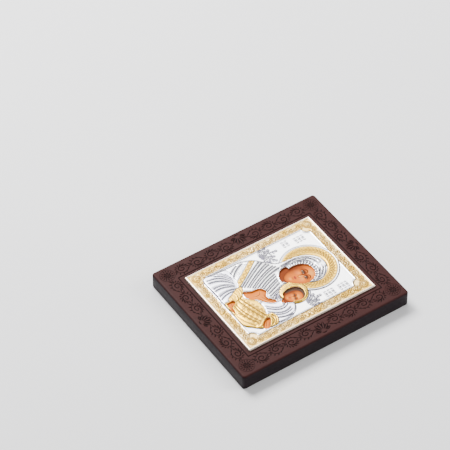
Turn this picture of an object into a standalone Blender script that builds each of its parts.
"""Icon panel: a carved wooden board, a painted picture and an embossed metal cover over it.

Metres, +Z up. The panel lies on its back. The origin is the middle of the board's back, +X is the
picture's right, +Y is its top and +Z points out of its face.

Figures and ornament are drawn in millimetres on the cover's field or on one strip of the board's
border, and the drawing is scaled to the size of that field or strip.
"""

import math

import bmesh
import bpy
import numpy as np

MM = 0.001

# Wooden board
BOARD_WIDTH = 0.165
BOARD_HEIGHT = 0.200
BOARD_THICKNESS = 0.018
BOARD_CORNER_RADIUS = 0.0032
BOARD_EDGE_RADIUS = 0.0020
BOARD_BACK_CHAMFER = 0.001
CORNER_STEPS = 4
SMALLEST_CORNER = 0.0004

# Metal cover
COVER_WIDTH = 0.1164
COVER_HEIGHT = 0.1534
COVER_CORNER_RADIUS = 0.0015
RIM_WIDTH = 0.003
RIM_HEIGHT = 0.0021
RIM_STEPS = 6
METAL_THICKNESS = 0.0005
BORDER_WIDTH = 0.009
BEAD_WIDTH = 0.0012
BEAD_HEIGHT = 0.0005
FIELD_CORNER_CUT = 0.007
GRID_STEP = 0.0009
RELIEF_TRIANGLES = 4200

# Painted picture
PICTURE_MARGIN = 0.003
PICTURE_THICKNESS = 0.0008

# Touching pieces keep this gap
GAP = 0.0003

# Carving in the board
GROOVE_OFFSET = 0.0035
GROOVE_WIDTH = 0.0008
GROOVE_DEPTH = 0.0005
CUT_DEPTH = 0.0006
CUT_HALF_WIDTH = 0.0006
CUTTER_RISE = 0.0003
ORNAMENT_MARGIN = 0.0046
PALMETTE_HALF = 0.008
PALMETTE_LOBES = 5
SCROLL_PITCH = 0.017
SCROLL_TURNS = 1.45
SCROLL_STEPS = 10
LEAF_STEPS = 4
ROSETTE_RADIUS = 0.0078
ROSETTE_PETALS = 6
ROSETTE_STEPS = 16

# The relief's drawing: a field this big, in millimetres, with its origin at the cover's middle
DRAWING_WIDTH = 93.0
DRAWING_HEIGHT = 130.0
OUTLINE_STEPS = 3
FOLD_STEPS = 8

# Relief heights over the field, and the widths of their rounded edges, on the drawing
HALO_HEIGHT = 0.35
HALO_RING = 0.3
ROBE_HEIGHT = 0.6
ROBE_SWELL = 0.9
ROBE_ROUND = 13.0
CLOTH_HEIGHT = 0.9
CLOTH_SWELL = 1.0
CLOTH_ROUND = 9.0
TRIM_HEIGHT = 0.35
TRIM_HALF_WIDTH = 2.6
FOLD_DEPTH = 0.45
FOLD_HALF_WIDTH = 0.9

# Haloes: middle and radius
MOTHER_HALO = (1.0, 35.5, 31.0)
CHILD_HALO = (20.5, 3.0, 14.5)

# Faces show through egg-shaped openings: middle, half width, half height, lean in degrees
MOTHER_FACE = (3.6, 21.5, 13.2, 16.6, -12.0)
CHILD_FACE = (22.3, 1.6, 9.4, 11.2, -22.0)
EGG_NARROWING = 0.16
EGG_STEPS = 20
MOTHER_NECK = ((-11.0, 17.0), (-11.8, 9.0), (-8.0, 4.5), (-2.5, 1.2), (3.0, 1.4), (5.2, 8.0))
CHILD_NECK = ((19.0, -5.0), (21.6, -12.0), (25.6, -14.8), (28.8, -10.0), (30.0, -4.0))

# Outlines of the clothed figures
ROBE = (
    (4, 53.5), (-5, 52), (-12.5, 46), (-17, 38), (-19, 29), (-19.5, 19), (-23, 9), (-32, 0),
    (-39.5, -8), (-43.5, -20), (-44, -36), (-44.5, -50), (-44.5, -63.5), (-20, -63.5), (5, -63.5),
    (14, -50), (22, -20), (14, -6), (6, 4), (10, 10), (15, 19), (20, 28), (21, 37), (17, 45), (11, 51),
)
TUNIC = (
    (22, -10), (30, -5), (37, -6), (43, -13), (45, -22), (44.5, -31), (38, -37), (26, -38),
    (14, -32), (17, -24), (21, -18),
)
MANTLE = (
    (-8, -42), (0, -43), (9, -35), (20, -33.5), (29, -36), (31, -31), (38, -29), (44.5, -33),
    (45, -40), (42, -50), (36, -57), (28, -63.5), (10, -63.5), (-5, -63.5), (-5.5, -58), (-9, -50),
)

# Hands and feet show through openings of their own outline
RIGHT_HAND = (
    (-8, -38.5), (-4.5, -32), (-3.5, -24), (0, -20.5), (4, -19.5), (8, -22.5), (12, -23),
    (16.5, -19), (20.5, -17.5), (21, -22), (16, -28), (9.5, -32.5), (5, -38), (0, -41), (-5, -40.8),
)
LEFT_HAND = (
    (33.5, -38.5), (35.5, -36), (39, -38), (43, -41), (45.2, -45), (43.5, -48), (40, -48.2),
    (36, -44.5),
)
FEET = (
    (-4.5, -54.5), (-1.5, -53), (1.5, -56), (3, -59.5), (8.5, -60.6), (11, -62.2), (4, -62.8),
    (-3, -62.6), (-4.5, -60),
)

# Folds run between two guide lines: start, middle and end of each, and how many folds
ROBE_FOLDS = (
    (((-34, -2), (-25, -18), (-14, -36)), ((-15, 10), (-12, -6), (-4, -24)), 5),
    (((-10, 1), (-7, -10), (-2, -20)), ((2, -2), (5, -10), (8, -18)), 3),
    (((-3, 50), (-15.5, 36), (-16, 12)), ((0, 42), (-12, 33), (-13.5, 14)), 2),
    (((10, 50), (19, 40), (17.5, 28)), ((9, 44), (14, 38.5), (16, 35)), 2),
    (((-26, -42), (-38, -50), (-42, -61)), ((-12, -44), (-13, -54), (-11, -62)), 5),
)
TUNIC_FOLDS = ((((25, -11), (29, -20), (20, -31)), ((42, -15), (41, -24), (34, -35)), 4),)
MANTLE_FOLDS = ((((30, -37), (14, -42), (-2, -46)), ((36, -54), (20, -61), (8, -61)), 5),)
TRIM = ((-38.5, -8), (-30, -20), (-18.5, -38))


def clear_scene():
    for obj in list(bpy.data.objects):
        bpy.data.objects.remove(obj, do_unlink=True)


def material(name, colour, roughness, metallic):
    finish = bpy.data.materials.new(name)
    finish.use_nodes = True
    shader = finish.node_tree.nodes["Principled BSDF"]
    shader.inputs["Base Color"].default_value = (*colour, 1.0)
    shader.inputs["Roughness"].default_value = roughness
    shader.inputs["Metallic"].default_value = metallic
    return finish


def object_of(bm, name, finish=None):
    """The bmesh as an object with its faces turned outwards and its round surfaces smooth."""
    bmesh.ops.recalc_face_normals(bm, faces=bm.faces)
    mesh = bpy.data.meshes.new(name)
    bm.to_mesh(mesh)
    bm.free()
    obj = bpy.data.objects.new(name, mesh)
    bpy.context.scene.collection.objects.link(obj)
    if finish:
        mesh.materials.append(finish)
    mesh.shade_smooth()
    mesh.set_sharp_from_angle(angle=math.radians(35))
    return obj


def cutter_of(bm, name):
    obj = object_of(bm, name)
    obj.hide_render = True
    obj.display_type = "WIRE"
    return obj


def boolean(obj, other, operation, name, within=False):
    """within lets the other mesh's own bodies cross each other."""
    modifier = obj.modifiers.new(name, "BOOLEAN")
    modifier.operation = operation
    modifier.solver = "EXACT"
    modifier.object = other
    modifier.use_self = within


def rounded_rectangle(width, height, radius):
    """Points anticlockwise round a rectangle with round corners, the same count for every size."""
    points = []
    for corner in range(4):
        turn = math.pi / 2 * corner
        sign_x = 1 if corner in (0, 3) else -1
        sign_y = 1 if corner in (0, 1) else -1
        for step in range(CORNER_STEPS + 1):
            angle = turn + math.pi / 2 * step / CORNER_STEPS
            x = sign_x * (width / 2 - radius) + radius * math.cos(angle)
            y = sign_y * (height / 2 - radius) + radius * math.sin(angle)
            points.append((x, y))
    return points


def inset_ring(bm, width, height, radius, inset, z):
    corner = max(radius - inset, SMALLEST_CORNER)
    outline = rounded_rectangle(width - 2 * inset, height - 2 * inset, corner)
    return [bm.verts.new((x, y, z)) for x, y in outline]


def bridge(bm, lower, upper):
    for index, vertex in enumerate(lower):
        after = (index + 1) % len(lower)
        bm.faces.new((vertex, lower[after], upper[after], upper[index]))


def prism(bm, outline, bottom, top):
    """A closed upright prism over a plan outline."""
    lower = [bm.verts.new((x, y, bottom)) for x, y in outline]
    upper = [bm.verts.new((x, y, top)) for x, y in outline]
    bridge(bm, lower, upper)
    bm.faces.new(lower[::-1])
    bm.faces.new(upper)


def closed_curve(points, steps=OUTLINE_STEPS):
    """A smooth closed line through the points, with each stretch in so many steps."""
    spots = np.array(points, float)
    share = (np.arange(steps) / steps)[:, None]
    before = np.roll(spots, 1, axis=0)
    after = np.roll(spots, -1, axis=0)
    beyond = np.roll(spots, -2, axis=0)
    line = []
    for a, b, c, d in zip(before, spots, after, beyond):
        bend = 2 * a - 5 * b + 4 * c - d
        twist = 3 * b - a - 3 * c + d
        line.append(0.5 * (2 * b + (c - a) * share + bend * share**2 + twist * share**3))
    return np.vstack(line)


def bent_line(start, middle, end, steps=FOLD_STEPS):
    """A parabola from start to end that passes through middle."""
    a, m, b = (np.array(spot, float) for spot in (start, middle, end))
    pull = 2 * m - (a + b) / 2
    share = np.linspace(0, 1, steps + 1)[:, None]
    return (1 - share) ** 2 * a + 2 * share * (1 - share) * pull + share**2 * b


def fold_lines(families):
    """Lines spread evenly between each family's two guides."""
    lines = []
    for first, last, count in families:
        one = bent_line(*first)
        other = bent_line(*last)
        for index in range(count):
            share = index / (count - 1)
            lines.append(one * (1 - share) + other * share)
    return lines


def distance_to_line(x, y, line, closed=False):
    """Distance from every point of a grid to a line of short straight steps."""
    ends = np.roll(line, -1, axis=0) if closed else line[1:]
    starts = line if closed else line[:-1]
    nearest = np.full(x.shape, np.inf)
    for (ax, ay), (bx, by) in zip(starts, ends):
        run_x, run_y = bx - ax, by - ay
        length = max(run_x**2 + run_y**2, 1e-12)
        along = np.clip(((x - ax) * run_x + (y - ay) * run_y) / length, 0, 1)
        nearest = np.minimum(nearest, np.hypot(x - ax - along * run_x, y - ay - along * run_y))
    return nearest


def depth_inside(x, y, outline):
    """Distance from the outline, above nought inside it and below nought outside."""
    inside = np.zeros(x.shape, bool)
    for (ax, ay), (bx, by) in zip(outline, np.roll(outline, -1, axis=0)):
        if ay == by:
            continue
        crosses = (ay > y) != (by > y)
        inside ^= crosses & (x < (bx - ax) * (y - ay) / (by - ay) + ax)
    return np.where(inside, 1, -1) * distance_to_line(x, y, outline, closed=True)


def swell(depth, width):
    """Rises from 0 at an outline to 1 at a depth of width, steep first."""
    share = np.clip(depth / width, 0, 1)
    return 1 - (1 - share) ** 2


def egg(middle_x, middle_y, half_width, half_height, lean):
    """An egg with its narrow end down, leaning clockwise for a lean below nought."""
    angle = np.arange(EGG_STEPS) / EGG_STEPS * 2 * math.pi
    across = half_width * np.cos(angle) * (1 + EGG_NARROWING * np.sin(angle))
    up = half_height * np.sin(angle)
    turn = math.radians(-lean)
    x = middle_x + across * math.cos(turn) + up * math.sin(turn)
    y = middle_y - across * math.sin(turn) + up * math.cos(turn)
    return np.column_stack([x, y])


def field_size():
    """The field inside the rim and the border."""
    frame = 2 * (RIM_WIDTH + BORDER_WIDTH)
    return COVER_WIDTH - frame, COVER_HEIGHT - frame


def drawing_scale():
    """Metres for one millimetre of the drawing, which fits the field both ways."""
    width, height = field_size()
    return min(width / DRAWING_WIDTH, height / DRAWING_HEIGHT)


def field_frame():
    """The bead round the field, in metres, whose corners are cut across."""
    width, height = field_size()
    cut = min(FIELD_CORNER_CUT, width / 4, height / 4)
    x, y = width / 2, height / 2
    return np.array([
        (x, y - cut), (x - cut, y), (-x + cut, y), (-x, y - cut),
        (-x, -y + cut), (-x + cut, -y), (x - cut, -y), (x, -y + cut),
    ])


def cloth(x, y, outline, height, bulge, roundness, folds):
    """Height of a clothed figure with folds cut into it, and its depth inside the outline."""
    depth = depth_inside(x, y, closed_curve(outline))
    surface = height + bulge * swell(depth, roundness)
    for line in fold_lines(folds):
        surface -= FOLD_DEPTH * np.exp(-((distance_to_line(x, y, line) / FOLD_HALF_WIDTH) ** 2))
    return np.where(depth > 0, surface, 0), depth


def relief(x, y):
    """Height of the figures over the field, all in drawing millimetres."""
    height = np.zeros(x.shape)
    for middle_x, middle_y, radius in (MOTHER_HALO, CHILD_HALO):
        depth = radius - np.hypot(x - middle_x, y - middle_y)
        ring = HALO_RING * ((depth > 0) & (depth < 1.6))
        height = np.where(depth > 0, np.maximum(height, HALO_HEIGHT + ring), height)
    robe, depth = cloth(x, y, ROBE, ROBE_HEIGHT, ROBE_SWELL, ROBE_ROUND, ROBE_FOLDS)
    trim = distance_to_line(x, y, bent_line(*TRIM)) < TRIM_HALF_WIDTH
    robe += TRIM_HEIGHT * (trim & (depth > 0))
    height = np.maximum(height, robe)
    middle_x, middle_y, radius = CHILD_HALO
    child_halo = radius - np.hypot(x - middle_x, y - middle_y)
    height = np.where(child_halo > 0, np.maximum(height, ROBE_HEIGHT + ROBE_SWELL), height)
    for outline, folds in ((TUNIC, TUNIC_FOLDS), (MANTLE, MANTLE_FOLDS)):
        part, depth = cloth(x, y, outline, CLOTH_HEIGHT, CLOTH_SWELL, CLOTH_ROUND, folds)
        height = np.where(depth > 0, np.maximum(part, height - CLOTH_SWELL), height)
    return height


def board(finish):
    """The board with rounded upright corners and top edges and a small chamfer at its back."""
    bm = bmesh.new()
    radius = min(BOARD_EDGE_RADIUS, BOARD_CORNER_RADIUS, BOARD_THICKNESS / 2)
    levels = [(BOARD_BACK_CHAMFER, 0.0), (0.0, BOARD_BACK_CHAMFER)]
    for step in range(CORNER_STEPS + 1):
        angle = math.pi / 2 * step / CORNER_STEPS
        inset = radius * (1 - math.cos(angle))
        levels.append((inset, BOARD_THICKNESS - radius * (1 - math.sin(angle))))
    rings = [
        inset_ring(bm, BOARD_WIDTH, BOARD_HEIGHT, BOARD_CORNER_RADIUS, inset, z) for inset, z in levels
    ]
    for lower, upper in zip(rings, rings[1:]):
        bridge(bm, lower, upper)
    bm.faces.new(rings[0][::-1])
    bm.faces.new(rings[-1])
    return object_of(bm, "wooden_board", finish)


def groove_cutter():
    """A square groove round the cover, at a set distance from its edge."""
    bm = bmesh.new()
    bottom = BOARD_THICKNESS - GROOVE_DEPTH
    top = BOARD_THICKNESS + CUTTER_RISE
    rings = []
    for offset in (GROOVE_OFFSET, GROOVE_OFFSET + GROOVE_WIDTH):
        width = COVER_WIDTH + 2 * offset
        height = COVER_HEIGHT + 2 * offset
        for z in (bottom, top):
            rings.append(inset_ring(bm, width, height, COVER_CORNER_RADIUS, 0.0, z))
    inner_low, inner_high, outer_low, outer_high = rings
    for one, other in (
        (inner_low, inner_high), (inner_high, outer_high), (outer_high, outer_low), (outer_low, inner_low),
    ):
        bridge(bm, one, other)
    return cutter_of(bm, "groove_cut")


def stroke(points, strength):
    """One cut of a gouge: its line in the plane and its depth there as a share of the full depth."""
    return np.array(points, float), np.array(strength, float)


def scroll(middle_u, middle_v, radius_u, radius_v, side):
    """A volute that starts beside the last one and curls in, over or under the strip's middle."""
    share = np.linspace(0, 1, SCROLL_STEPS + 1)
    angle = math.pi - side * 2 * math.pi * SCROLL_TURNS * share
    reach = 0.16 + 0.84 * (1 - share) ** 0.8
    strength = np.interp(share, (0, 0.25, 0.85, 1), (-0.1, 1, 0.7, 0.4))
    u = middle_u + radius_u * reach * np.cos(angle)
    v = middle_v + radius_v * reach * np.sin(angle)
    return stroke(np.column_stack([u, v]), strength)


def leaf(start, end, bend):
    """A bowed cut that is deepest at its middle and runs out at both ends."""
    share = np.linspace(0, 1, LEAF_STEPS + 1)
    run = np.array(end) - np.array(start)
    across = np.array((-run[1], run[0]))
    bow = 4 * bend * share * (1 - share)
    points = np.array(start) + share[:, None] * run + bow[:, None] * across
    return stroke(points, 1.1 * np.sin(math.pi * share) ** 0.7 - 0.1)


def half_strip(half_length, half_width):
    """Volutes that turn over and under by turns, with a leaf where one passes the next."""
    strokes = []
    run = half_length - PALMETTE_HALF
    count = max(1, round(run / SCROLL_PITCH))
    pitch = run / count
    for index in range(count):
        side = 1 if index % 2 == 0 else -1
        middle = PALMETTE_HALF + (index + 0.5) * pitch
        lift = -0.08 * side * half_width
        strokes.append(scroll(middle, lift, 0.47 * pitch, 0.86 * half_width, side))
        if index < count - 1:
            edge = PALMETTE_HALF + (index + 1) * pitch
            start = (edge - 0.16 * pitch, 0.70 * side * half_width)
            end = (edge + 0.22 * pitch, 0.92 * side * half_width)
            strokes.append(leaf(start, end, -0.15 * side))
    return strokes


def palmette(half_width):
    """A fan of lobes that opens towards the cover."""
    strokes = []
    foot = np.array((0, -0.85 * half_width))
    middle = (PALMETTE_LOBES - 1) / 2
    spread = math.radians(132) / (PALMETTE_LOBES - 1)
    for index in range(PALMETTE_LOBES):
        off = index - middle
        angle = math.pi / 2 - spread * off
        way = np.array((math.cos(angle), math.sin(angle)))
        reach = half_width * (1.7 - 0.16 * abs(off) ** 1.3)
        strokes.append(leaf(foot + way * half_width * 0.34, foot + way * reach, 0.1 * np.sign(off)))
    return strokes


def rosette(radius):
    """A ring round a whorl of petals."""
    angle = np.linspace(0, 2 * math.pi, ROSETTE_STEPS + 1)
    ring = np.column_stack([radius * np.cos(angle), radius * np.sin(angle)])
    strokes = [stroke(ring, np.full(len(ring), 0.8))]
    for index in range(ROSETTE_PETALS):
        angle = math.pi * (2 * index + 1) / ROSETTE_PETALS
        way = np.array((math.cos(angle), math.sin(angle)))
        strokes.append(leaf(way * radius * 0.24, way * radius * 0.84, 0.16))
    return strokes


def board_ornament():
    """Every cut in the board's border, in the board's plane, in metres."""
    inner_x = COVER_WIDTH / 2 + GROOVE_OFFSET + GROOVE_WIDTH
    inner_y = COVER_HEIGHT / 2 + GROOVE_OFFSET + GROOVE_WIDTH
    outer_x = BOARD_WIDTH / 2 - ORNAMENT_MARGIN
    outer_y = BOARD_HEIGHT / 2 - ORNAMENT_MARGIN
    rosette_x = outer_x - ROSETTE_RADIUS + CUT_HALF_WIDTH
    rosette_y = outer_y - ROSETTE_RADIUS + CUT_HALF_WIDTH
    clear = ROSETTE_RADIUS + 2 * CUT_HALF_WIDTH
    strips = (
        ((inner_y + outer_y) / 2, (outer_y - inner_y) / 2, rosette_x - clear, (1, 0), (0, 1)),
        ((inner_x + outer_x) / 2, (outer_x - inner_x) / 2, rosette_y - clear, (0, 1), (1, 0)),
    )
    cuts = []
    for middle, half_width, half_length, along, outward in strips:
        along = np.array(along)
        outward = np.array(outward)
        halves = half_strip(half_length, half_width)
        for side in (-1, 1):
            base = outward * side * middle
            groups = ((palmette(half_width), 1), (halves, 1), (halves, -1))
            for strokes, way in groups:
                for points, strength in strokes:
                    place = base + points[:, :1] * along * way - points[:, 1:] * outward * side
                    cuts.append((place, strength))
    for side_x in (-1, 1):
        for side_y in (-1, 1):
            for points, strength in rosette(ROSETTE_RADIUS):
                corner = (side_x * rosette_x, side_y * rosette_y)
                cuts.append((points * (side_x, side_y) + corner, strength))
    return cuts


def add_gouge(bm, points, strength):
    """A bar of V section along a line, which leaves the wood where its strength is nought."""
    closed = np.allclose(points[0], points[-1])
    if closed:
        points, strength = points[:-1], strength[:-1]
    ways = np.gradient(points, axis=0)
    if closed:
        ways = np.roll(points, -1, axis=0) - np.roll(points, 1, axis=0)
    ways /= np.linalg.norm(ways, axis=1)[:, None]
    slope = CUT_HALF_WIDTH / CUT_DEPTH
    sections = []
    for (x, y), (way_x, way_y), share in zip(points, ways, strength):
        depth = CUT_DEPTH * share
        half = slope * (depth + CUTTER_RISE)
        top = BOARD_THICKNESS + CUTTER_RISE
        left = bm.verts.new((x - way_y * half, y + way_x * half, top))
        right = bm.verts.new((x + way_y * half, y - way_x * half, top))
        low = bm.verts.new((x, y, BOARD_THICKNESS - depth))
        sections.append((left, low, right))
    pairs = list(zip(sections, sections[1:]))
    if closed:
        pairs.append((sections[-1], sections[0]))
    for one, other in pairs:
        bridge(bm, one, other)
    if not closed:
        bm.faces.new(sections[0][::-1])
        bm.faces.new(sections[-1])


def carve_board(obj):
    boolean(obj, groove_cutter(), "DIFFERENCE", "Groove")
    bm = bmesh.new()
    for points, strength in board_ornament():
        add_gouge(bm, points, strength)
    boolean(obj, cutter_of(bm, "ornament_cut"), "DIFFERENCE", "Ornament", within=True)


def cover_levels():
    """Heights of the cover's underside, the sheet's underside and the field."""
    foot = BOARD_THICKNESS + GAP
    sheet = foot + PICTURE_THICKNESS + GAP
    return foot, sheet, sheet + METAL_THICKNESS


def rim(finish):
    """The rounded rim that carries the cover, a ring with a domed top."""
    foot, sheet, field = cover_levels()
    bm = bmesh.new()
    half = RIM_WIDTH / 2
    levels = [(0.0, foot)]
    for step in range(RIM_STEPS + 1):
        angle = math.pi * step / RIM_STEPS
        inset = half * (1 - math.cos(angle))
        levels.append((inset, foot + RIM_HEIGHT - half * (1 - math.sin(angle))))
    levels.append((RIM_WIDTH, foot))
    rings = [
        inset_ring(bm, COVER_WIDTH, COVER_HEIGHT, COVER_CORNER_RADIUS, inset, z) for inset, z in levels
    ]
    for one, other in zip(rings, rings[1:] + rings[:1]):
        bridge(bm, one, other)
    return object_of(bm, "silver_cover", finish)


def sheet_body():
    """The embossed sheet inside the rim: a fine grid of heights over a flat underside."""
    foot, sheet, field = cover_levels()
    inset = RIM_WIDTH / 2
    half_x = COVER_WIDTH / 2 - inset
    half_y = COVER_HEIGHT / 2 - inset
    count_x = round(2 * half_x / GRID_STEP)
    count_y = round(2 * half_y / GRID_STEP)
    x, y = np.meshgrid(np.linspace(-half_x, half_x, count_x + 1), np.linspace(-half_y, half_y, count_y + 1))
    scale = drawing_scale()
    bead = distance_to_line(x, y, field_frame(), closed=True)
    height = field + MM * relief(x / scale, y / scale)
    height = np.where(bead < BEAD_WIDTH, np.maximum(height, field + BEAD_HEIGHT), height)
    bm = bmesh.new()
    rows = []
    for row_x, row_y, row_z in zip(x, y, height):
        rows.append([bm.verts.new(place) for place in zip(row_x, row_y, row_z)])
    for low, high in zip(rows, rows[1:]):
        for a, b, c, d in zip(low, low[1:], high[1:], high):
            bm.faces.new((a, b, c, d))
    edge = rows[0][:-1] + [row[-1] for row in rows[:-1]] + rows[-1][:0:-1] + [row[0] for row in rows[:0:-1]]
    under = [bm.verts.new((vertex.co.x, vertex.co.y, sheet)) for vertex in edge]
    bridge(bm, edge, under)
    bm.faces.new(under)
    faces = 2 * count_x * count_y + 3 * len(edge)
    obj = cutter_of(bm, "embossed_sheet")
    fewer = obj.modifiers.new("Fewer facets", "DECIMATE")
    fewer.ratio = RELIEF_TRIANGLES / faces
    return obj


def opening_cutter(name, outline):
    """A prism through the sheet over an outline of the drawing."""
    foot, sheet, field = cover_levels()
    bm = bmesh.new()
    prism(bm, np.array(outline) * drawing_scale(), foot, field + 4 * MM)
    return cutter_of(bm, name)


def cover(finish):
    obj = rim(finish)
    boolean(obj, sheet_body(), "UNION", "Sheet")
    cuts = (
        ("mother_face_cut", egg(*MOTHER_FACE)),
        ("mother_neck_cut", closed_curve(MOTHER_NECK)),
        ("child_face_cut", egg(*CHILD_FACE)),
        ("child_neck_cut", closed_curve(CHILD_NECK)),
        ("right_hand_cut", closed_curve(RIGHT_HAND)),
        ("left_hand_cut", closed_curve(LEFT_HAND)),
        ("feet_cut", closed_curve(FEET)),
    )
    for name, outline in cuts:
        boolean(obj, opening_cutter(name, outline), "DIFFERENCE", name)
    return obj


def picture(finish):
    """The thin picture sheet between the board and the cover."""
    inset = RIM_WIDTH + PICTURE_MARGIN
    bm = bmesh.new()
    foot = BOARD_THICKNESS + GAP
    x = COVER_WIDTH / 2 - inset
    y = COVER_HEIGHT / 2 - inset
    prism(bm, ((x, y), (-x, y), (-x, -y), (x, -y)), foot, foot + PICTURE_THICKNESS)
    return object_of(bm, "painted_picture", finish)


def main():
    clear_scene()
    wood = material("Brown wood", (0.085, 0.034, 0.029), 0.45, 0.0)
    silver = material("Silver cover", (0.82, 0.80, 0.74), 0.3, 1.0)
    paint = material("Painted picture", (0.79, 0.34, 0.14), 0.5, 0.0)
    carve_board(board(wood))
    picture(paint)
    cover(silver)


main()
